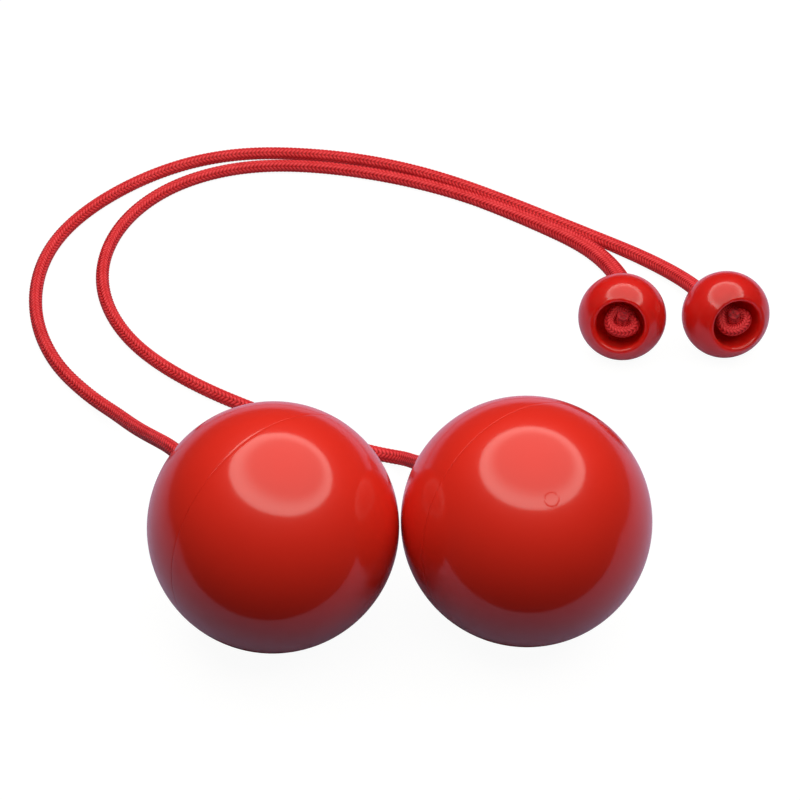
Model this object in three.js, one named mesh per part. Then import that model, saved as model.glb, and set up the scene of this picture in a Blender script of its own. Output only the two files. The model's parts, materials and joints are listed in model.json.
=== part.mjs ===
// A pair of ball-and-cord spinning props. Each prop is a hollow plastic ball, a braided cord and a
// small round handle bead. The cord runs out of the ball, and a knot holds each of its ends.
// Millimetres, +Z up. Both props lie on a flat surface at Z = 0, with the balls side by side at the
// front (-Y) and the handle beads at the back right. The origin is on that surface, under the middle
// of the box round the balls and beads.
import * as THREE from 'three';
import { NURBSCurve } from 'three/addons/curves/NURBSCurve.js';

// Fits
const GAP = 0.3; // between pieces that touch
const HOLE_CLEARANCE = 0.45; // between the cord and the ball's hole, all round
const BORE_CLEARANCE = 0.8; // between the cord and the bead's bore, all round

// Ball: two moulded half shells, joined where a tongue on the rear one enters a rebate in the front
// one. The rear shell has the cord hole at its pole, with a boss inside it.
const BALL_DIAMETER = 80;
const SHELL_WALL = 2.5;
const TONGUE_LENGTH = 3;
const TONGUE_WALL = 1.1;
const BOSS_DIAMETER = 18;
const BOSS_LENGTH = 6;

// Cord, and the knots and washers that hold it
const CORD_DIAMETER = 5;
const CORD_SIDES = 10;
const CORD_STEPS = 54;
const KNOT_DIAMETER = 13.5;
const KNOT_LENGTH = 11.6;
const WASHER_DIAMETER = 16;
const WASHER_THICKNESS = 1.5;

// Handle bead: a slightly squashed ball with a through bore and a wide round recess for the knot
const BEAD_DIAMETER = 32.6;
const BEAD_LENGTH = 29.4; // before the ends are cut flat
const BEAD_FULLNESS = 2.05; // 2 is an ellipse, and more is squarer
const RECESS_DIAMETER = 17.7;
const RECESS_DEPTH = 12.4;
const RIM_EASE = 0.6; // height of the eased edges on both sides of the rim's flat
const RIM_LIP = 0.7; // width of the eased edge inside the flat
const RIM_FLAT = 0.9; // width of the flat
const REAR_FLAT_DIAMETER = 11;
const BORE_EASE = 0.7; // widening of the bore at its rear mouth

// Where the pieces lie. A bearing is in degrees from +Y towards +X, and a rise is above level.
const BALLS_MIDDLE = { x: -28.6, y: -49.3 };
const BALL_SPACE = 0.4; // between the two balls
const BALL_STAGGER = 2.5; // how much further back the right ball lies
const LEFT_EXIT = { bearing: -42, rise: -6.5 };
const RIGHT_EXIT = { bearing: -35.4, rise: -18 };
const HANDLES_MIDDLE = { x: 73.3, y: 74.8 };
const HANDLE_SPACE = 6; // between the two beads
const HANDLE_STAGGER = 1.2; // how much further back the left cord's bead lies
const LEFT_HANDLE = { bearing: 165.3, rise: 21.5 };
const RIGHT_HANDLE = { bearing: 191.5, rise: 24.5 };
const STRAIGHT_FROM_BALL = 7; // cord outside the ball before it starts to bend down
const STRAIGHT_FROM_BEAD = 5.3; // cord behind the bead before it starts to bend

// Each cord from where it lands behind its ball to the lead into its bead: x, y, and the lift of its
// underside above the surface. The right cord lies close beside the left one on its way to the beads,
// and the left one lies further back where the cord is thicker than the routes leave room for.
const ROUTE_ROOM = 5;
const LEFT_ROUTE = [
  [-131, 32.8, 4.4], [-139.2, 42.1, 1.2], [-147.1, 50.9, 0.1], [-155.6, 61, 0], [-163.3, 75, 0],
  [-168.6, 91.5, 0], [-170.4, 109, 0], [-168.5, 126.5, 0], [-162.1, 143, 0], [-150.9, 158.5, 0],
  [-135.4, 173, 0], [-116.4, 184.5, 0], [-94.8, 190.4, 0], [-72.3, 190.3, 0], [-49.8, 187.2, 0],
  [-27.8, 180.9, 0], [-6.8, 171.5, 0], [13.7, 159.3, 0], [32.7, 147, 0], [50.2, 135, 0],
  [64.8, 125.2, 0.1], [75.9, 114.7, 1.3], [83.7, 103.6, 3.8],
];
const RIGHT_ROUTE = [
  [-26.2, 11.4, 3.1], [-30.2, 14.3, 1.1], [-35.8, 16.6, 0.1], [-44.3, 19.5, 0], [-56.8, 25.8, 0],
  [-75.8, 35.9, 0], [-95.8, 46.4, 0], [-113.8, 58.8, 0], [-129.3, 73.4, 0], [-140.3, 91.5, 0],
  [-145.6, 110.5, 0], [-145.2, 130.2, 0], [-138.2, 150.4, 0], [-123.8, 167.8, 0], [-104, 178.6, 0],
  [-82.8, 182.6, 0], [-59.8, 181, 0], [-36.8, 175.9, 0], [-12.8, 167.6, 0], [9.2, 155.9, 0],
  [27.7, 143.9, 0], [42.2, 133.4, 0.2], [51.3, 122.6, 0.8], [57, 109.6, 2], [58.8, 98.9, 3.5],
];
// The drop from the ball to the surface: share of the way there, and share of the height that is left
const DROP = [[0.18, 0.87], [0.34, 0.69], [0.5, 0.5], [0.66, 0.32], [0.82, 0.16]];

// Fineness of the round pieces
const BALL_SEGMENTS = 36;
const BEAD_SEGMENTS = 32;
const KNOT_SEGMENTS = 20;
const WASHER_SEGMENTS = 24;

const ballRadius = BALL_DIAMETER / 2;
const cavityRadius = ballRadius - SHELL_WALL;
const cordRadius = CORD_DIAMETER / 2;
const holeRadius = cordRadius + HOLE_CLEARANCE;
const boreRadius = cordRadius + BORE_CLEARANCE;

const plastic = new THREE.MeshStandardMaterial({ color: 0xc01a12, roughness: 0.12, metalness: 0 });
const braid = new THREE.MeshStandardMaterial({ color: 0xb01522, roughness: 0.75, metalness: 0 });
const nylon = new THREE.MeshStandardMaterial({ color: 0xe8e4da, roughness: 0.5, metalness: 0 });

function direction({ bearing, rise }) {
  const turn = THREE.MathUtils.degToRad(bearing);
  const lift = THREE.MathUtils.degToRad(rise);
  const level = Math.cos(lift);
  return new THREE.Vector3(Math.sin(turn) * level, Math.cos(turn) * level, Math.sin(lift));
}

// Points on a circle round the origin of an outline, from one height to another
function arc(radius, fromHeight, toHeight, steps) {
  const from = Math.asin(fromHeight / radius);
  const to = Math.asin(toHeight / radius);
  return Array.from({ length: steps + 1 }, (_, i) => {
    const angle = from + ((to - from) * i) / steps;
    return new THREE.Vector2(Math.max(0, radius * Math.cos(angle)), radius * Math.sin(angle));
  });
}

const heightAt = (radius, out) => Math.sqrt(radius * radius - out * out);
const at = (out, up) => new THREE.Vector2(out, up);

// A turned piece: its outline, of distances from the axis and heights along it, goes up the outside
// and down the inside
function turned(name, outline, segments, material) {
  const mesh = new THREE.Mesh(new THREE.LatheGeometry(outline, segments), material);
  mesh.name = name;
  return mesh;
}

// Ball, with its +Y axis from the centre to the cord hole
const tongueRadius = cavityRadius + TONGUE_WALL;
const bossEnd = heightAt(cavityRadius, BOSS_DIAMETER / 2) - BOSS_LENGTH;

function rearShellOutline() {
  const outer = arc(ballRadius, GAP / 2, heightAt(ballRadius, holeRadius), 9);
  const inner = arc(cavityRadius, heightAt(cavityRadius, BOSS_DIAMETER / 2), 0, 6);
  return [
    ...outer,
    at(holeRadius, bossEnd),
    at(BOSS_DIAMETER / 2, bossEnd),
    ...inner,
    at(cavityRadius, -TONGUE_LENGTH),
    at(tongueRadius, -TONGUE_LENGTH),
    at(tongueRadius, GAP / 2),
    outer[0].clone(),
  ];
}

function frontShellOutline() {
  const rebateEnd = -TONGUE_LENGTH - GAP;
  return [
    ...arc(ballRadius, -ballRadius, -GAP / 2, 9),
    at(tongueRadius + GAP, -GAP / 2),
    at(tongueRadius + GAP, rebateEnd),
    ...arc(cavityRadius, rebateEnd, -cavityRadius, 6),
  ];
}

function ring(innerRadius, outerRadius, low, high) {
  return [
    at(innerRadius, low), at(outerRadius, low), at(outerRadius, high), at(innerRadius, high),
    at(innerRadius, low),
  ];
}

// A tight knot as a barrel with flat ends as wide as the cord
function knotOutline(low) {
  const middle = low + KNOT_LENGTH / 2;
  const steps = 6;
  const bulge = KNOT_DIAMETER / 2 - cordRadius;
  const side = Array.from({ length: steps + 1 }, (_, i) => {
    const angle = (Math.PI * i) / steps;
    return at(cordRadius + bulge * Math.sin(angle), middle - (Math.cos(angle) * KNOT_LENGTH) / 2);
  });
  return [at(0, low), ...side, at(0, low + KNOT_LENGTH)];
}

const washerTop = bossEnd - GAP;
const washerLow = washerTop - WASHER_THICKNESS;
const ballKnotLow = washerLow - GAP - KNOT_LENGTH;

// Handle bead, with its +Y axis from the centre to the recess mouth
function beadHeightAt(out) {
  const share = (2 * out) / BEAD_DIAMETER;
  return (BEAD_LENGTH / 2) * (1 - share ** BEAD_FULLNESS) ** (1 / BEAD_FULLNESS);
}

const rimInnerRadius = RECESS_DIAMETER / 2 + RIM_LIP;
const rimOuterRadius = rimInnerRadius + RIM_FLAT;
const rimEdgeRadius = rimOuterRadius + RIM_EASE;
const rimHeight = beadHeightAt(rimEdgeRadius) + RIM_EASE;
const recessFloor = rimHeight - RECESS_DEPTH;
const rearHeight = -beadHeightAt(REAR_FLAT_DIAMETER / 2);

function beadSide(fromRadius, toRadius, steps, sign) {
  const widest = BEAD_DIAMETER / 2;
  const from = Math.acos(fromRadius / widest);
  const to = Math.acos(toRadius / widest);
  return Array.from({ length: steps + 1 }, (_, i) => {
    const out = widest * Math.cos(from + ((to - from) * i) / steps);
    return at(out, sign * beadHeightAt(Math.min(out, widest)));
  });
}

function beadOutline() {
  const rearSide = beadSide(REAR_FLAT_DIAMETER / 2, BEAD_DIAMETER / 2, 6, -1);
  const frontSide = beadSide(BEAD_DIAMETER / 2, rimEdgeRadius, 5, 1);
  return [
    at(boreRadius + BORE_EASE, rearHeight),
    ...rearSide,
    ...frontSide.slice(1),
    at(rimOuterRadius, rimHeight),
    at(rimInnerRadius, rimHeight),
    at(RECESS_DIAMETER / 2, rimHeight - RIM_EASE),
    at(RECESS_DIAMETER / 2, recessFloor + RIM_EASE),
    at(RECESS_DIAMETER / 2 - RIM_EASE, recessFloor),
    at(boreRadius, recessFloor),
    at(boreRadius, rearHeight + BORE_EASE),
    at(boreRadius + BORE_EASE, rearHeight),
  ];
}

// Height of a turned piece's centre when it rests on the surface with its axis at that rise
function restHeight(outline, rise) {
  const tilt = THREE.MathUtils.degToRad(rise);
  return Math.max(...outline.map((p) => p.x * Math.cos(tilt) - p.y * Math.sin(tilt)));
}

// A group whose +Y axis points along a direction
function placed(centre, heading, pieces) {
  const group = new THREE.Group();
  group.position.copy(centre);
  group.quaternion.setFromUnitVectors(new THREE.Vector3(0, 1, 0), direction(heading));
  group.add(...pieces);
  return group;
}

// The cord's middle line: out of the ball, down to the surface, along its route and into the bead
function cordLine(ballCentre, exit, handleCentre, handle, route) {
  const out = direction(exit);
  const into = direction(handle);
  const fromBall = (distance) => ballCentre.clone().addScaledVector(out, distance);
  const fromBead = (distance) => handleCentre.clone().addScaledVector(into, distance);
  const exitEnd = ballRadius + STRAIGHT_FROM_BALL;
  const leadIn = rearHeight - STRAIGHT_FROM_BEAD;
  const laid = route.map(([x, y, lift]) => new THREE.Vector3(x, y, lift + cordRadius));
  const start = fromBall(exitEnd);
  const drop = DROP.map(([way, height]) => {
    const point = start.clone().lerp(laid[0], way);
    point.z = laid[0].z + (start.z - laid[0].z) * height;
    return point;
  });
  const straightOut = [0, 1 / 3, 2 / 3].map((share) =>
    fromBall(THREE.MathUtils.lerp(washerLow, exitEnd, share)));
  const straightIn = [0, 1 / 3, 2 / 3, 1].map((share) =>
    fromBead(THREE.MathUtils.lerp(leadIn, recessFloor, share)));
  return [...straightOut, start, ...drop, ...laid, ...straightIn];
}

// A smooth curve drawn by those points, with its ends on the first and the last
function smooth(points) {
  const degree = 3;
  const spans = points.length - degree;
  const knots = [
    ...Array(degree).fill(0),
    ...Array.from({ length: spans + 1 }, (_, i) => i),
    ...Array(degree).fill(spans),
  ];
  const controls = points.map((p) => new THREE.Vector4(p.x, p.y, p.z, 1));
  const curve = new NURBSCurve(degree, knots, controls);
  curve.arcLengthDivisions = 20 * points.length;
  return curve;
}

function cord(name, points) {
  const section = new THREE.Shape(Array.from({ length: CORD_SIDES }, (_, i) => {
    const angle = (2 * Math.PI * i) / CORD_SIDES;
    return at(cordRadius * Math.cos(angle), cordRadius * Math.sin(angle));
  }));
  const options = { steps: CORD_STEPS, bevelEnabled: false, extrudePath: smooth(points) };
  const mesh = new THREE.Mesh(new THREE.ExtrudeGeometry(section, options), braid);
  mesh.name = name;
  return mesh;
}

function prop(side, ballPlace, exit, handlePlace, handle, route) {
  const beadRest = restHeight(beadOutline(), handle.rise);
  const ballCentre = new THREE.Vector3(ballPlace.x, ballPlace.y, ballRadius);
  const handleCentre = new THREE.Vector3(handlePlace.x, handlePlace.y, beadRest);
  const ball = placed(ballCentre, exit, [
    turned(`${side}_ball_front_shell`, frontShellOutline(), BALL_SEGMENTS, plastic),
    turned(`${side}_ball_rear_shell`, rearShellOutline(), BALL_SEGMENTS, plastic),
    turned(`${side}_cord_washer`, ring(holeRadius, WASHER_DIAMETER / 2, washerLow, washerTop),
      WASHER_SEGMENTS, nylon),
    turned(`${side}_ball_knot`, knotOutline(ballKnotLow), KNOT_SEGMENTS, braid),
  ]);
  const grip = placed(handleCentre, handle, [
    turned(`${side}_handle_bead`, beadOutline(), BEAD_SEGMENTS, plastic),
    turned(`${side}_handle_knot`, knotOutline(recessFloor + GAP), KNOT_SEGMENTS, braid),
  ]);
  const line = cordLine(ballCentre, exit, handleCentre, handle, route);
  const group = new THREE.Group();
  group.add(ball, cord(`${side}_cord`, line), grip);
  return group;
}

// A place to one side of a middle point, for one of two pieces that lie side by side
function beside(middle, side, width, space, stagger) {
  return { x: middle.x + (side * (width + space)) / 2, y: middle.y + (side * stagger) / 2 };
}

const leftBall = beside(BALLS_MIDDLE, -1, BALL_DIAMETER, BALL_SPACE, BALL_STAGGER);
const rightBall = beside(BALLS_MIDDLE, 1, BALL_DIAMETER, BALL_SPACE, BALL_STAGGER);
const leftHandle = beside(HANDLES_MIDDLE, 1, BEAD_DIAMETER, HANDLE_SPACE, HANDLE_STAGGER);
const rightHandle = beside(HANDLES_MIDDLE, -1, BEAD_DIAMETER, HANDLE_SPACE, HANDLE_STAGGER);
const extraThickness = CORD_DIAMETER - ROUTE_ROOM;
const leftRoute = LEFT_ROUTE.map(([x, y, lift]) => [x, y + extraThickness, lift]);

const pair = new THREE.Group();
pair.add(prop('left', leftBall, LEFT_EXIT, leftHandle, LEFT_HANDLE, leftRoute));
pair.add(prop('right', rightBall, RIGHT_EXIT, rightHandle, RIGHT_HANDLE, RIGHT_ROUTE));

export default pair;
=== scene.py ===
# A pair of ball-and-cord spinning props, lying side by side on a table. Each one is a hollow plastic
# ball, a braided cord that comes out of it, and a small round handle bead held on by a knot.
import json
import math

import bmesh
import bpy
import numpy as np
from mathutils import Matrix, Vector


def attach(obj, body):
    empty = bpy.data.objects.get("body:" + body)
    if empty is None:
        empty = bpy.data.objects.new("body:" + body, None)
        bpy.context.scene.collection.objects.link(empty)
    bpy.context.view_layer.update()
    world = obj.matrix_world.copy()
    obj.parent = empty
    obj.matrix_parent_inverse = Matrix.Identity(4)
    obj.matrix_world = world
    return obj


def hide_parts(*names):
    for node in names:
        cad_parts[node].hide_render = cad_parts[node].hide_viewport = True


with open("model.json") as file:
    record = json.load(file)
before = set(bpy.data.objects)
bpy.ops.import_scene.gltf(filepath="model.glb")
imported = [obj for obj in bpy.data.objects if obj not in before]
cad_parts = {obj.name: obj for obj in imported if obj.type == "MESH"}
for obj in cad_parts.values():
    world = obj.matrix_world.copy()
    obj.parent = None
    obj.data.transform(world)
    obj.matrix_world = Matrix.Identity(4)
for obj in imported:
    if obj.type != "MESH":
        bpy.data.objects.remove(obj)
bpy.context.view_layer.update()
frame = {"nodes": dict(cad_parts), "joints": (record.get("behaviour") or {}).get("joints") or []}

# Camera. It stands in front of the balls and half a metre above the table, tilted halfway down.
camera_data = bpy.data.cameras.new("camera")
camera_data.lens = 87.75
camera_data.sensor_width = 36
camera = bpy.data.objects.new("camera", camera_data)
camera.location = (-0.0286, -0.4605, 0.507)
camera.rotation_euler = (math.radians(45), 0, 0)
bpy.context.scene.collection.objects.link(camera)
bpy.context.scene.camera = camera
bpy.context.scene.view_settings.view_transform = "Standard"

# Cords. Each is a limp round cord braided from sixteen flat yarns of red polyester, eight wound each
# way. It comes out of its ball through a washer, sinks to the table, lies in a long loop round the
# back and runs through its bead into a knot. Against the bead the braid is pushed up and thicker.
joints = {joint["name"]: joint for joint in frame["joints"]}
ball_radius = 0.04
cord_radius = 0.0025
braid_radius = 0.00262
bunched_radius = {"left": 0.0032, "right": 0.0037}
bunched_length = {"left": 0.08, "right": 0.1}
bored_radius = 0.0031
braid_columns = 8
column_faces = 5
braid_row = 0.00165
pressed_row = 0.0012
ring_spacing = 0.00027
line_steps = 60
straight_points = 4
yarn_depth = 0.00026
yarn_edge = 0.02
crown_length = 0.8
crown_width = 0.5
washer_low = 0.028604
ball_exit_end = 0.047
bead_rear = -0.013904
bead_lead_in = -0.019204
recess_floor = -0.000825
left_route = [
    (-0.131, 0.0328, 0.0044), (-0.1392, 0.0421, 0.0012), (-0.1471, 0.0509, 0.0001), (-0.1556, 0.061, 0),
    (-0.1633, 0.075, 0), (-0.1686, 0.0915, 0), (-0.1704, 0.109, 0), (-0.1685, 0.1265, 0),
    (-0.1621, 0.143, 0), (-0.1509, 0.1585, 0), (-0.1354, 0.173, 0), (-0.1164, 0.1845, 0),
    (-0.0948, 0.1904, 0), (-0.0723, 0.1903, 0), (-0.0498, 0.1872, 0), (-0.0278, 0.1809, 0),
    (-0.0068, 0.1715, 0), (0.0137, 0.1593, 0), (0.0327, 0.147, 0), (0.0502, 0.135, 0),
    (0.0648, 0.1252, 0.0001), (0.0759, 0.1147, 0.0013), (0.0837, 0.1036, 0.0038),
]
right_route = [
    (-0.0262, 0.0114, 0.0031), (-0.0302, 0.0143, 0.0011), (-0.0358, 0.0166, 0.0001),
    (-0.0443, 0.0195, 0), (-0.0568, 0.0258, 0), (-0.0758, 0.0359, 0), (-0.0958, 0.0464, 0),
    (-0.1138, 0.0588, 0), (-0.1293, 0.0734, 0), (-0.1403, 0.0915, 0), (-0.1456, 0.1105, 0),
    (-0.1452, 0.1302, 0), (-0.1382, 0.1504, 0), (-0.1238, 0.1678, 0), (-0.104, 0.1786, 0),
    (-0.0828, 0.1826, 0), (-0.0598, 0.181, 0), (-0.0368, 0.1759, 0), (-0.0128, 0.1676, 0),
    (0.0092, 0.1559, 0), (0.0277, 0.1439, 0), (0.0422, 0.1334, 0.0002), (0.0513, 0.1226, 0.0008),
    (0.057, 0.1096, 0.002), (0.0588, 0.0989, 0.0035),
]
drop = [(0.18, 0.87), (0.34, 0.69), (0.5, 0.5), (0.66, 0.32), (0.82, 0.16)]


def cord_points(side, route):
    ball = joints[side + "_ball_swivel"]
    handle = joints[side + "_handle_spin"]
    ball_centre, out = np.array(ball["pos_m"]), np.array(ball["axis"])
    bead_centre, into = np.array(handle["pos_m"]), np.array(handle["axis"])
    laid = [np.array([x, y, lift + cord_radius]) for x, y, lift in route]
    start = ball_centre + out * ball_exit_end
    straight_out = [ball_centre + out * h for h in np.linspace(washer_low, ball_exit_end, straight_points)]
    sinking = []
    for way, height in drop:
        point = start + (laid[0] - start) * way
        point[2] = laid[0][2] + (start[2] - laid[0][2]) * height
        sinking.append(point)
    straight_in = [bead_centre + into * h
                   for h in np.linspace(bead_lead_in, recess_floor, straight_points)]
    return straight_out + sinking + laid + straight_in


# A smooth cubic curve that starts and ends on the route's end points and is drawn towards the others,
# cut into even steps.
def smooth_line(points, spacing):
    points = np.array(points, dtype=float)
    spans = len(points) - 3
    marks = np.concatenate([[0] * 3, np.arange(spans + 1), [spans] * 3]).astype(float)
    where = np.linspace(0, spans, line_steps * spans + 1)
    span = np.minimum(where.astype(int), spans - 1) + 3
    near = [points[span - 3 + k] for k in range(4)]
    for level in range(1, 4):
        for k in range(3, level - 1, -1):
            low, high = marks[span - 3 + k], marks[span + 1 + k - level]
            share = ((where - low) / (high - low))[:, None]
            near[k] = (1 - share) * near[k - 1] + share * near[k]
    steps = np.linalg.norm(np.diff(near[3], axis=0), axis=1)
    travelled = np.concatenate([[0], np.cumsum(steps)])
    count = int(round(travelled[-1] / spacing)) + 1
    even = np.linspace(0, travelled[-1], count)
    return np.stack([np.interp(even, travelled, near[3][:, k]) for k in range(3)], axis=1)


# Rings of points round the line. Each column of faces is one run of yarns that lean the same way, and
# a yarn stands proud at its crown and sinks at its edges. The weave map carries the same pattern.
def braided_tube(name, line, radius, row):
    ahead = np.gradient(line, axis=0)
    ahead /= np.linalg.norm(ahead, axis=1)[:, None]
    top = np.zeros_like(line)
    last = np.array([0.0, 0.0, 1.0])
    for i, tangent in enumerate(ahead):
        last = last - tangent * last.dot(tangent)
        last /= np.linalg.norm(last)
        top[i] = last
    side = np.cross(ahead, top)
    travelled = np.concatenate([[0], np.cumsum(np.linalg.norm(np.diff(line, axis=0), axis=1))])
    around = braid_columns * column_faces
    place = np.arange(around)
    column, across = place // column_faces, (place % column_faces) / column_faces
    lean = np.where(column % 2 == 0, 1.0, -1.0)
    rows_passed = np.diff(travelled) / np.broadcast_to(row, len(line))[1:]
    climbed = np.concatenate([[0], np.cumsum(rows_passed)])
    phase = climbed[:, None] + lean * (across - 0.5) + 0.5 * (column % 4 // 2)
    crown = np.abs(np.cos(np.pi * phase)) ** crown_length * np.sin(np.pi * across) ** crown_width
    out = np.broadcast_to(np.asarray(radius), travelled.shape)[:, None] - yarn_depth * (1 - crown)
    angle = 2 * np.pi * place / around
    rings = (line[:, None] + top[:, None] * (out * np.cos(angle))[..., None]
             + side[:, None] * (out * np.sin(angle))[..., None])
    points = np.concatenate([rings.reshape(-1, 3), line[:1], line[-1:]])
    rows = len(line)
    i, j = np.meshgrid(np.arange(rows - 1), place, indexing="ij")
    beside = (j + 1) % around
    quads = np.stack([i * around + j, i * around + beside,
                      (i + 1) * around + beside, (i + 1) * around + j], axis=-1).reshape(-1, 4)
    first, final = rows * around, rows * around + 1
    last_ring = (rows - 1) * around
    faces = [tuple(q) for q in quads.tolist()]
    faces += [(first, (k + 1) % around, k) for k in range(around)]
    faces += [(final, last_ring + k, last_ring + (k + 1) % around) for k in range(around)]
    mesh = bpy.data.meshes.new(name)
    mesh.from_pydata(points.tolist(), [], faces)
    weave = mesh.uv_layers.new(name="weave")
    face_column = j // column_faces
    from_edge = (j % column_faces) / column_faces
    to_edge = from_edge + 1 / column_faces
    face_lean = np.where(face_column % 2 == 0, 1.0, -1.0)
    shift = 0.5 * (face_column % 4 // 2)
    corners = []
    for end, edge in ((i, from_edge), (i, to_edge), (i + 1, to_edge), (i + 1, from_edge)):
        climb = climbed[end] + face_lean * (edge - 0.5) + shift
        corners.append(np.stack([climb, face_column + yarn_edge + (1 - 2 * yarn_edge) * edge], axis=-1))
    quad_uv = np.stack(corners, axis=2).reshape(-1, 2)
    both_ends = 2 * 3 * around
    cap_uv = np.tile([0.5, 0.5], (both_ends, 1))
    weave.data.foreach_set("uv", np.concatenate([quad_uv, cap_uv]).ravel())
    mesh.shade_smooth()
    tube = bpy.data.objects.new(name, mesh)
    bpy.context.scene.collection.objects.link(tube)
    return tube


def new_material(name):
    material = bpy.data.materials.new(name)
    material.use_nodes = True
    return material, material.node_tree.nodes, material.node_tree.links


def worked(nodes, links, operation, *values):
    node = nodes.new("ShaderNodeMath")
    node.operation = operation
    for socket, value in zip(node.inputs, values):
        if isinstance(value, (int, float)):
            socket.default_value = value
        else:
            links.new(value, socket)
    return node.outputs[0]


def coloured_by(nodes, links, value, stops):
    ramp = nodes.new("ShaderNodeValToRGB")
    while len(ramp.color_ramp.elements) < len(stops):
        ramp.color_ramp.elements.new(0.5)
    for element, (place, colour) in zip(ramp.color_ramp.elements, stops):
        element.position = place
        element.color = (*colour, 1)
    links.new(value, ramp.inputs[0])
    return ramp.outputs[0]


# Each yarn is coloured palest and pinkest on its crown as a painted highlight, and darker where it dives
# under the next one as painted shade, most of all in the notches between two yarns that lean the same
# way. Fine filaments and wear run over that.
ridge_fullness = 0.7
yarn_fullness = 0.4
# These numbers set where and how strongly painted shade darkens the notches between yarns.
notch_reach, notch_start = 3.2, -0.6
notch_sharpness = 1.5
painted_notch_shade = 0.48
crown_light, groove_light = 0.42, 0.4
filaments_in_yarn = 5
filament_light = 0.09
wear_light = 0.3
braid, nodes, links = new_material("red braided polyester")
weave = nodes.new("ShaderNodeUVMap")
weave.uv_map = "weave"
parts = nodes.new("ShaderNodeSeparateXYZ")
links.new(weave.outputs[0], parts.inputs[0])
along, over = parts.outputs[0], parts.outputs[1]
ridge = worked(nodes, links, "ABSOLUTE",
               worked(nodes, links, "COSINE", worked(nodes, links, "MULTIPLY", along, math.pi)))
inside = worked(nodes, links, "SINE",
                worked(nodes, links, "MULTIPLY", worked(nodes, links, "FRACT", over), math.pi))
crown = worked(nodes, links, "MULTIPLY", worked(nodes, links, "POWER", ridge, ridge_fullness),
               worked(nodes, links, "POWER", inside, yarn_fullness))
pair = worked(nodes, links, "FRACT", worked(nodes, links, "MULTIPLY_ADD", over, 0.5, 0.5))
at_point = worked(nodes, links, "ABSOLUTE", worked(nodes, links, "SUBTRACT", pair, 0.5))
near_point = worked(nodes, links, "MAXIMUM",
                    worked(nodes, links, "MULTIPLY_ADD", at_point, notch_reach, notch_start), 0.0)
# Painted shade: the colour darkens where a yarn dives under the next one, most of all in the notches.
groove = worked(nodes, links, "POWER", worked(nodes, links, "SUBTRACT", 1.0, ridge), notch_sharpness)
notch = worked(nodes, links, "MULTIPLY", groove, near_point)
filament = worked(nodes, links, "SINE",
                  worked(nodes, links, "MULTIPLY", along, 2 * math.pi * filaments_in_yarn))
place = nodes.new("ShaderNodeTexCoord")
patches = nodes.new("ShaderNodeTexNoise")
patches.inputs["Scale"].default_value = 160
patches.inputs["Detail"].default_value = 3
links.new(place.outputs["Object"], patches.inputs["Vector"])
worn = worked(nodes, links, "MULTIPLY",
              worked(nodes, links, "SUBTRACT", patches.outputs["Fac"], 0.5), wear_light)
# Each crown is coloured lighter as a painted highlight and each groove darker as painted shade.
lit = worked(nodes, links, "MULTIPLY_ADD", crown, crown_light, groove_light)
fine = worked(nodes, links, "MULTIPLY_ADD", filament, filament_light, worn)
shade = worked(nodes, links, "SUBTRACT", worked(nodes, links, "ADD", lit, fine),
               worked(nodes, links, "MULTIPLY", notch, painted_notch_shade))
skin = nodes["Principled BSDF"]
# The palest, pinkest colour on the crowns is a painted sheen highlight, and the darkest, in the notches, is
# painted shade.
links.new(coloured_by(nodes, links, shade, [
    (0.08, (0.2, 0.001, 0.004)),
    (0.52, (0.66, 0.007, 0.012)),
    (0.84, (0.96, 0.07, 0.085)),
]), skin.inputs["Base Color"])
skin.inputs["Roughness"].default_value = 0.5
skin.inputs["Specular IOR Level"].default_value = 0.3
skin.inputs["Sheen Weight"].default_value = 0.04
skin.inputs["Sheen Roughness"].default_value = 0.4
skin.inputs["Sheen Tint"].default_value = (1, 0.35, 0.4, 1)
threads = nodes.new("ShaderNodeBump")
threads.inputs["Strength"].default_value = 0.35
threads.inputs["Distance"].default_value = 0.00008
links.new(filament, threads.inputs["Height"])
links.new(threads.outputs[0], skin.inputs["Normal"])

cords = {}
cord_lines = {}
bore_length = recess_floor - bead_rear
for side, route in (("left", left_route), ("right", right_route)):
    line = smooth_line(cord_points(side, route), ring_spacing)
    from_bead = np.arange(len(line))[::-1] * ring_spacing - bore_length
    pressed = 1 - (1 - np.clip(1 - from_bead / bunched_length[side], 0, 1)) ** 2
    radius = braid_radius + (bunched_radius[side] - braid_radius) * pressed
    in_bore = np.clip(1 - from_bead / braid_radius, 0, 1)
    radius += (np.minimum(radius, bored_radius) - radius) * in_bore
    row = braid_row + (pressed_row - braid_row) * pressed
    cord = braided_tube(side + "_braided_cord", line, radius, row)
    cord.data.materials.append(braid)
    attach(cord, side + "_line")
    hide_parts(side + "_cord")
    cords[side], cord_lines[side] = cord, line

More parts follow.
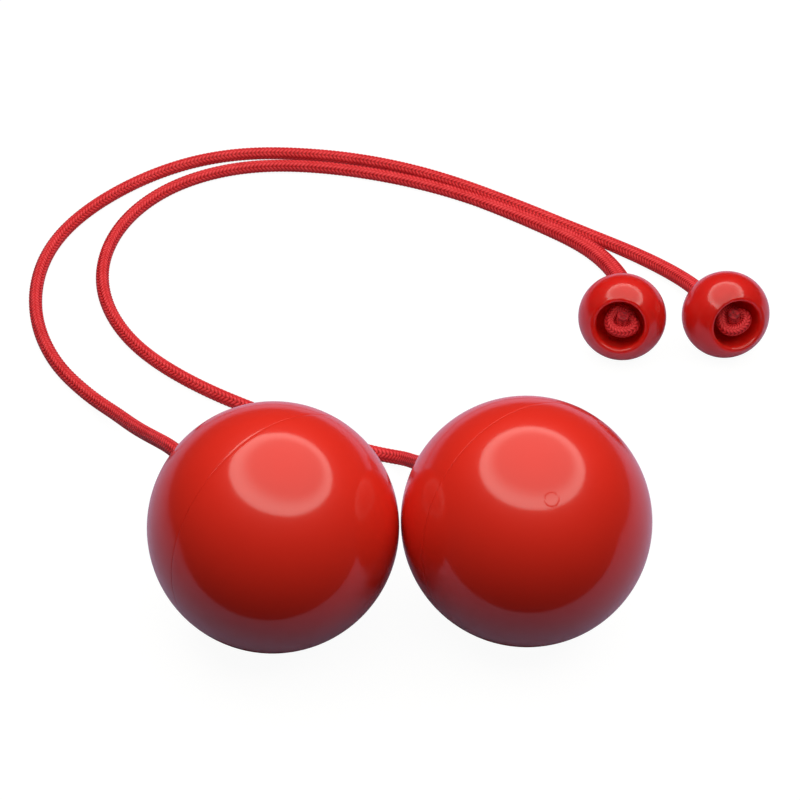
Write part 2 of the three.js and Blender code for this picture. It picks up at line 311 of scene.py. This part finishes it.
# Knots. Each cord ends in a tight overhand knot at both ends: one against the washer inside the ball
# and one in the bead's recess. Under the knot's own pull the cord is thinner and the knot is squashed,
# and its cut end was melted so that the braid can't fray.
knotted_radius = 0.00225
knotted_row = 0.0011
tied_route = [
    (0, 0, -1.55), (0.1, 0.14, -1.35), (0.179, 0.241, -1.2), (0.286, 0.297, -1.0), (0.443, 0.186, -0.72),
    (0.606, -0.085, -0.46), (0.875, -0.384, -0.3), (1.187, -0.497, -0.05), (1.425, -0.452, 0.28),
    (1.509, -0.283, 0.62), (1.42, -0.017, 0.92), (1.176, 0.272, 1.12), (0.804, 0.541, 1.18),
    (0.398, 0.692, 1.09), (-0.001, 0.681, 0.88), (-0.265, 0.534, 0.6), (-0.362, 0.266, 0.27),
    (-0.36, -0.026, -0.03), (-0.357, -0.332, -0.34), (-0.229, -0.569, -0.65), (0.078, -0.697, -0.93),
    (0.473, -0.677, -1.1), (0.892, -0.489, -1.16), (1.23, -0.219, -1.08), (1.455, 0.079, -0.86),
    (1.506, 0.322, -0.56), (1.385, 0.474, -0.2), (1.132, 0.488, 0.1), (0.806, 0.337, 0.33),
    (0.576, 0.021, 0.5), (0.41, -0.27, 0.68), (0.33, -0.48, 0.82), (0.27, -0.64, 0.98), (0.23, -0.74, 1.14),
]
lead_points = 3
knot_off_axis = 0.45
knot_unit = 0.0046
knot_flatness = 0.7
knot_height = 0.0062
knot_ring_spacing = ring_spacing * 0.8
seen_turn = {"left": math.radians(192), "right": math.radians(207)}
hidden_turn = {"left": 0.6, "right": 2.1}


def basis_along(direction):
    along = Vector(direction).normalized()
    level = along.cross(Vector((0, 0, 1))).normalized()
    return np.array([level, level.cross(along), along])


def tied_knot(name, centre, direction, turn):
    tied = np.array(tied_route) * (1, 1, knot_flatness)
    tied[lead_points:, 0] -= knot_off_axis
    spun = tied.copy()
    spun[:, 0] = tied[:, 0] * math.cos(turn) - tied[:, 1] * math.sin(turn)
    spun[:, 1] = tied[:, 0] * math.sin(turn) + tied[:, 1] * math.cos(turn)
    line = smooth_line(centre + spun * knot_unit @ basis_along(direction), knot_ring_spacing)
    knot = braided_tube(name, line, knotted_radius, knotted_row)
    knot.data.materials.append(braid)
    return knot, line


melted, nodes, links = new_material("melted cord end")
place = nodes.new("ShaderNodeTexCoord")
puddle = nodes.new("ShaderNodeTexNoise")
puddle.inputs["Scale"].default_value = 900
links.new(place.outputs["Object"], puddle.inputs["Vector"])
skin = nodes["Principled BSDF"]
links.new(coloured_by(nodes, links, puddle.outputs["Fac"], [
    (0.35, (0.2, 0.004, 0.01)),
    (0.65, (0.6, 0.016, 0.026)),
]), skin.inputs["Base Color"])
skin.inputs["Roughness"].default_value = 0.55
skin.inputs["Specular IOR Level"].default_value = 0.3
dimples = nodes.new("ShaderNodeBump")
dimples.inputs["Strength"].default_value = 0.5
dimples.inputs["Distance"].default_value = 0.0002
links.new(puddle.outputs["Fac"], dimples.inputs["Height"])
links.new(dimples.outputs[0], skin.inputs["Normal"])

same_point = 1e-7
no_length = 1e-8


def close_up(mesh):
    work = bmesh.new()
    work.from_mesh(mesh)
    bmesh.ops.remove_doubles(work, verts=work.verts, dist=same_point)
    bmesh.ops.dissolve_degenerate(work, dist=no_length, edges=work.edges)
    bmesh.ops.recalc_face_normals(work, faces=work.faces)
    work.to_mesh(mesh)
    work.free()


def turned(name, outline, centre, direction, segments, material):
    outline = np.array(outline)
    angle = 2 * np.pi * np.arange(segments) / segments
    out, up = outline[:, 0], outline[:, 1]
    local = np.stack([out[:, None] * np.cos(angle), out[:, None] * np.sin(angle),
                      np.broadcast_to(up[:, None], (len(out), segments))], axis=-1)
    points = np.array(centre) + local.reshape(-1, 3) @ basis_along(direction)
    faces = []
    for i in range(len(out) - 1):
        for j in range(segments):
            k = (j + 1) % segments
            faces.append((i * segments + j, i * segments + k,
                          (i + 1) * segments + k, (i + 1) * segments + j))
    mesh = bpy.data.meshes.new(name)
    mesh.from_pydata(points.tolist(), [], faces)
    mesh.materials.append(material)
    close_up(mesh)
    mesh.shade_smooth()
    piece = bpy.data.objects.new(name, mesh)
    bpy.context.scene.collection.objects.link(piece)
    return piece


melted_outline = [(0, -0.0007), (0.0019, -0.0007), (0.00225, -0.00035), (0.00234, 0), (0.0022, 0.0003),
                  (0.0017, 0.00048), (0.0011, 0.00042), (0.0006, 0.0003), (0, 0.00026)]
end_segments = 32
end_rings = 8


def melted_end(name, line):
    return turned(name, melted_outline, line[-1], line[-1] - line[-end_rings], end_segments, melted)


for side in ("left", "right"):
    ball, handle = joints[side + "_ball_swivel"], joints[side + "_handle_spin"]
    out, into = np.array(ball["axis"]), np.array(handle["axis"])
    handle_middle = np.array(handle["pos_m"]) + into * (recess_floor + knot_height)
    ball_middle = np.array(ball["pos_m"]) + out * (washer_low - knot_height)
    handle_knot, line = tied_knot(side + "_handle_overhand_knot", handle_middle, into, seen_turn[side])
    handle_end = melted_end(side + "_handle_melted_end", line)
    ball_knot, line = tied_knot(side + "_ball_overhand_knot", ball_middle, -out, hidden_turn[side])
    ball_end = melted_end(side + "_ball_melted_end", line)
    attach(handle_knot, side + "_knot")
    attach(handle_end, side + "_knot")
    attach(ball_knot, side + "_line")
    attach(ball_end, side + "_line")
    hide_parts(side + "_handle_knot")
    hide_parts(side + "_ball_knot")
    line = cord_lines[side]

# Washers. A flat ring of natural nylon on each cord, inside the ball. It spreads the knot's pull over
# the boss round the cord hole, and nothing but the knot holds it there.
nylon, nodes, links = new_material("natural nylon")
place = nodes.new("ShaderNodeTexCoord")
cloud = nodes.new("ShaderNodeTexNoise")
cloud.inputs["Scale"].default_value = 300
links.new(place.outputs["Object"], cloud.inputs["Vector"])
skin = nodes["Principled BSDF"]
links.new(coloured_by(nodes, links, cloud.outputs["Fac"], [
    (0.3, (0.66, 0.62, 0.52)),
    (0.7, (0.8, 0.77, 0.68)),
]), skin.inputs["Base Color"])
skin.inputs["Roughness"].default_value = 0.45
for side in ("left", "right"):
    washer = frame["nodes"][side + "_cord_washer"]
    washer.data.materials.clear()
    washer.data.materials.append(nylon)

# Balls. Each is two moulded half shells of glossy red plastic, welded where a tongue on the half with
# the cord hole enters the other one. The weld shows as a hair line round the ball, and the halves
# don't meet quite evenly.
shell_wall = 0.0025
cavity_radius = ball_radius - shell_wall
tongue_length = 0.003
tongue_radius = cavity_radius + 0.0011
tongue_clearance = 0.0003
shell_segments = 128
front_steps = 60
rear_steps = 56
cavity_steps = 30
seam_steps = 5
hole_radius = 0.00295
hole_round = 0.0006
hole_round_start = 0.3
hole_round_points = 5
boss_radius = 0.009
boss_length = 0.006
seam_gap = 0.00002
seam_round = 0.0001
uneven = 0.00001
ejector_mark = (0.01677, -0.06903, 0.07366)
ejector_radius = 0.00215
ejector_line = 0.0003


def arc(radius, from_height, to_height, steps):
    angles = np.linspace(math.asin(from_height / radius), math.asin(to_height / radius), steps + 1)
    return [(max(0.0, radius * math.cos(a)), radius * math.sin(a)) for a in angles]


def rounded_seam(radius, towards):
    points = []
    for k in range(seam_steps + 1):
        angle = math.pi / 2 * k / seam_steps
        points.append((radius - seam_round * (1 - math.cos(angle)),
                       towards * (seam_gap + seam_round * (1 - math.sin(angle)))))
    return points


def red_plastic(name, dark, pale, glow):
    plastic, nodes, links = new_material(name)
    place = nodes.new("ShaderNodeTexCoord")
    swirl = nodes.new("ShaderNodeTexNoise")
    swirl.inputs["Scale"].default_value = 22
    swirl.inputs["Detail"].default_value = 2
    links.new(place.outputs["Object"], swirl.inputs["Vector"])
    skin = nodes["Principled BSDF"]
    links.new(coloured_by(nodes, links, swirl.outputs["Fac"], [
        (0.3, dark),
        (0.7, pale),
    ]), skin.inputs["Base Color"])
    handled = nodes.new("ShaderNodeTexNoise")
    handled.inputs["Scale"].default_value = 60
    handled.inputs["Detail"].default_value = 6
    links.new(place.outputs["Object"], handled.inputs["Vector"])
    polish = worked(nodes, links, "MULTIPLY_ADD", handled.outputs["Fac"], 0.12, 0.32)
    links.new(polish, skin.inputs["Roughness"])
    skin.inputs["Coat Weight"].default_value = 0.85
    skin.inputs["Coat Roughness"].default_value = 0.12
    skin.inputs["Coat IOR"].default_value = 1.5
    skin.inputs["Specular IOR Level"].default_value = 0.14
    skin.inputs["Subsurface Weight"].default_value = glow
    skin.inputs["Subsurface Radius"].default_value = (1, 0.12, 0.1)
    skin.inputs["Subsurface Scale"].default_value = 0.016
    ripple = nodes.new("ShaderNodeBump")
    ripple.inputs["Strength"].default_value = 0.12
    ripple.inputs["Distance"].default_value = 0.0004
    links.new(swirl.outputs["Fac"], ripple.inputs["Height"])
    links.new(ripple.outputs[0], skin.inputs["Normal"])
    links.new(ripple.outputs[0], skin.inputs["Coat Normal"])
    return plastic


gloss = red_plastic("glossy red plastic", (0.74, 0.023, 0.0115), (0.79, 0.026, 0.013), 0)
nodes, links = gloss.node_tree.nodes, gloss.node_tree.links
from_mark = nodes.new("ShaderNodeVectorMath")
from_mark.operation = "DISTANCE"
from_mark.inputs[1].default_value = ejector_mark
links.new(nodes["Texture Coordinate"].outputs["Object"], from_mark.inputs[0])
off_ring = worked(nodes, links, "ABSOLUTE",
                  worked(nodes, links, "SUBTRACT", from_mark.outputs["Value"], ejector_radius))
ring_line = worked(nodes, links, "MAXIMUM",
                   worked(nodes, links, "MULTIPLY_ADD", off_ring, -1 / ejector_line, 1.0), 0.0)
mark = nodes.new("ShaderNodeBump")
mark.inputs["Strength"].default_value = 0.5
mark.inputs["Distance"].default_value = 0.00015
links.new(ring_line, mark.inputs["Height"])
links.new(nodes["Bump"].outputs[0], mark.inputs["Normal"])
links.new(mark.outputs[0], nodes["Principled BSDF"].inputs["Coat Normal"])

boss_foot = math.sqrt(cavity_radius ** 2 - boss_radius ** 2)
boss_end = boss_foot - boss_length
hole_top = math.sqrt(ball_radius ** 2 - (hole_radius + hole_round) ** 2)
seam_start = seam_gap + seam_round
rear_outline = (
    [(tongue_radius, -tongue_length), (tongue_radius, seam_gap)]
    + rounded_seam(ball_radius, 1)[::-1]
    + arc(ball_radius, seam_start, hole_top, rear_steps)[1:]
    + [(hole_radius + hole_round * (1 - math.sin(a)), hole_top - hole_round * (1 - math.cos(a)))
       for a in np.linspace(hole_round_start, math.pi / 2, hole_round_points)]
    + [(hole_radius, boss_end), (boss_radius, boss_end)]
    + arc(cavity_radius, boss_foot, 0, cavity_steps)
    + [(cavity_radius, -tongue_length), (tongue_radius, -tongue_length)]
)
front_radius = ball_radius - uneven
rebate_radius = tongue_radius + tongue_clearance
rebate_end = -tongue_length - tongue_clearance
front_outline = (
    arc(front_radius, -front_radius, -seam_start, front_steps)[:-1]
    + rounded_seam(front_radius, -1)
    + [(rebate_radius, -seam_gap), (rebate_radius, rebate_end)]
    + arc(cavity_radius, rebate_end, -cavity_radius, cavity_steps)
)
for side in ("left", "right"):
    ball = joints[side + "_ball_swivel"]
    for half, outline in (("front", front_outline), ("rear", rear_outline)):
        shell = turned(f"{side}_ball_{half}_half", outline, ball["pos_m"], ball["axis"],
                       shell_segments, gloss)
        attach(shell, side + "_ball")
        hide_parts(f"{side}_ball_{half}_shell")

# Handle beads. Each is one solid turned bead of the same red plastic, a little flatter than a ball,
# with a bore for the cord and a wide round recess that hides the knot. All its edges are rounded.
bead_radius = 0.0163
bead_half_length = 0.0147
bead_fullness = 2.05
recess_radius = 0.00885
recess_depth = 0.0124
lip_outer = 0.01105
lip_rise = 0.0006
lip_shape = [(0.01085, 0.00022), (0.01045, 0.00004), (0.00995, 0), (0.00955, 0.00012), (0.00925, 0.00042),
             (0.009, 0.0009), (0.00887, 0.0016), (recess_radius, 0.0024)]
lip_foot = 0.0115
lip_blend, lip_blend_rise = 0.0112, 0.00003
bowl_round = 0.0042
bowl_points = 12
bore_radius = 0.0033
bore_ease = 0.0007
bore_bevel = 0.0002
floor_edge, floor_edge_drop = 0.0003, 0.0004
rear_flat_radius = 0.0055
rear_side_steps = 40
front_side_steps = 30
side_end = 0.01155
bead_segments = 112


def bead_height(out):
    return bead_half_length * (1 - min(1.0, out / bead_radius) ** bead_fullness) ** (1 / bead_fullness)


def bead_side(from_radius, to_radius, steps, sign):
    start, end = math.acos(from_radius / bead_radius), math.acos(to_radius / bead_radius)
    outs = [bead_radius * math.cos(a) for a in np.linspace(start, end, steps + 1)]
    return [(out, sign * bead_height(out)) for out in outs]


lip_height = bead_height(lip_outer) + lip_rise
floor_height = lip_height - recess_depth
lip_round = [(lip_foot, bead_height(lip_foot)), (lip_blend, bead_height(lip_blend) + lip_blend_rise)]
lip_round += [(out, lip_height - drop) for out, drop in lip_shape]
bowl = [(recess_radius - bowl_round * (1 - math.cos(a)), floor_height + bowl_round * (1 - math.sin(a)))
        for a in np.linspace(0, math.pi / 2, bowl_points)]
rear_height = -bead_height(rear_flat_radius)
bead_outline = (
    [(bore_radius + bore_ease, rear_height)]
    + bead_side(rear_flat_radius, bead_radius, rear_side_steps, -1)
    + bead_side(bead_radius, side_end, front_side_steps, 1)[1:]
    + lip_round
    + bowl
    + [(bore_radius + floor_edge, floor_height), (bore_radius, floor_height - floor_edge_drop),
       (bore_radius, rear_height + bore_ease), (bore_radius + bore_bevel, rear_height + bore_bevel),
       (bore_radius + bore_ease, rear_height)]
)
# The beads' copy of the red plastic is coloured darker and less orange than the balls' copy: painted shade.
shaded_bead_plastic = red_plastic("solid red plastic", (0.66, 0.0125, 0.0085), (0.71, 0.0145, 0.0095), 0.9)
for side in ("left", "right"):
    handle = joints[side + "_handle_spin"]
    bead = turned(side + "_handle_turned_bead", bead_outline, handle["pos_m"], handle["axis"],
                  bead_segments, shaded_bead_plastic)
    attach(bead, side + "_handle")
    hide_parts(side + "_handle_bead")

# Table and light. The table top is plain white and lit from above by one big round softbox whose rim
# is brighter than its middle. Thin cards on the table, unseen by the camera, set what the balls mirror
# and how much light is bounced up: a lilac one that only reflections see, as a painted reflection, a
# dark one in front as painted shade, and a pale one behind.
table_half = 15
table_drop = 0.0002


def flat_sheet(name, low, high, height, material):
    mesh = bpy.data.meshes.new(name)
    corners = [(low[0], low[1]), (high[0], low[1]), (high[0], high[1]), (low[0], high[1])]
    mesh.from_pydata([(x, y, height) for x, y in corners], [], [(0, 1, 2, 3)])
    mesh.materials.append(material)
    sheet = bpy.data.objects.new(name, mesh)
    bpy.context.scene.collection.objects.link(sheet)
    return sheet


white, nodes, links = new_material("white table top")
skin = nodes["Principled BSDF"]
skin.inputs["Base Color"].default_value = (0.13, 0.13, 0.13, 1)
skin.inputs["Roughness"].default_value = 0.9
skin.inputs["Specular IOR Level"].default_value = 0
skin.inputs["Emission Color"].default_value = (1, 1, 1, 1)
skin.inputs["Emission Strength"].default_value = 0.95
table_top = flat_sheet("table_top", (-table_half, -table_half), (table_half, table_half),
                       -table_drop, white)
table_top.visible_diffuse = False
table_top.visible_glossy = False


def bounce_card(name, colour, low, high, height):
    card, nodes, links = new_material(name)
    skin = nodes["Principled BSDF"]
    skin.inputs["Base Color"].default_value = (*colour, 1)
    skin.inputs["Roughness"].default_value = 0.9
    skin.inputs["Specular IOR Level"].default_value = 0
    sheet = flat_sheet(name, low, high, height, card)
    sheet.visible_camera = False
    sheet.visible_shadow = False
    return sheet


# A lilac sheet that only reflections see: a painted reflection on the balls' lower rims.
painted_reflection_card = bounce_card("painted_reflection_card", (0.56, 0.44, 0.66), (-0.6, -0.135), (0.6, 0.7), -0.0001)
painted_reflection_card.visible_diffuse = False
# A dark sheet that only bounce light sees, so that less light comes up from the front: painted shade.
painted_shade_card = bounce_card("painted_shade_card", (0.07, 0.06, 0.08), (-0.6, -0.4), (0.6, 0), -0.00015)
painted_shade_card.visible_glossy = False
back_card = bounce_card("back_card", (0.4, 0.34, 0.38), (-0.6, 0), (0.6, 0.7), -0.00015)
back_card.visible_glossy = False

softbox_data = bpy.data.lights.new("softbox", "AREA")
softbox_data.shape = "DISK"
softbox_data.size = 0.86
softbox_data.energy = 4.2
softbox_data.color = (1, 0.95, 0.87)
softbox_data.use_nodes = True
nodes, links = softbox_data.node_tree.nodes, softbox_data.node_tree.links
cloth = nodes.new("ShaderNodeNewGeometry")
from_middle = nodes.new("ShaderNodeVectorMath")
from_middle.operation = "DISTANCE"
from_middle.inputs[1].default_value = (0.5, 0.5, 0)
links.new(cloth.outputs["Parametric"], from_middle.inputs[0])
bright = nodes.new("ShaderNodeMapRange")
bright.interpolation_type = "SMOOTHSTEP"
bright.inputs["From Min"].default_value = 0.28
bright.inputs["From Max"].default_value = 0.44
bright.inputs["To Min"].default_value = 0.68
bright.inputs["To Max"].default_value = 1.7
links.new(from_middle.outputs["Value"], bright.inputs["Value"])
links.new(bright.outputs["Result"], nodes["Emission"].inputs["Strength"])
softbox = bpy.data.objects.new("softbox", softbox_data)
softbox.location = (0.059, 0.093, 0.5)
softbox.visible_camera = False
bpy.context.scene.collection.objects.link(softbox)

world = bpy.data.worlds.new("studio")
bpy.context.scene.world = world
world.use_nodes = True
world.node_tree.nodes["Background"].inputs["Color"].default_value = (1, 1, 1, 1)
world.node_tree.nodes["Background"].inputs["Strength"].default_value = 0.024
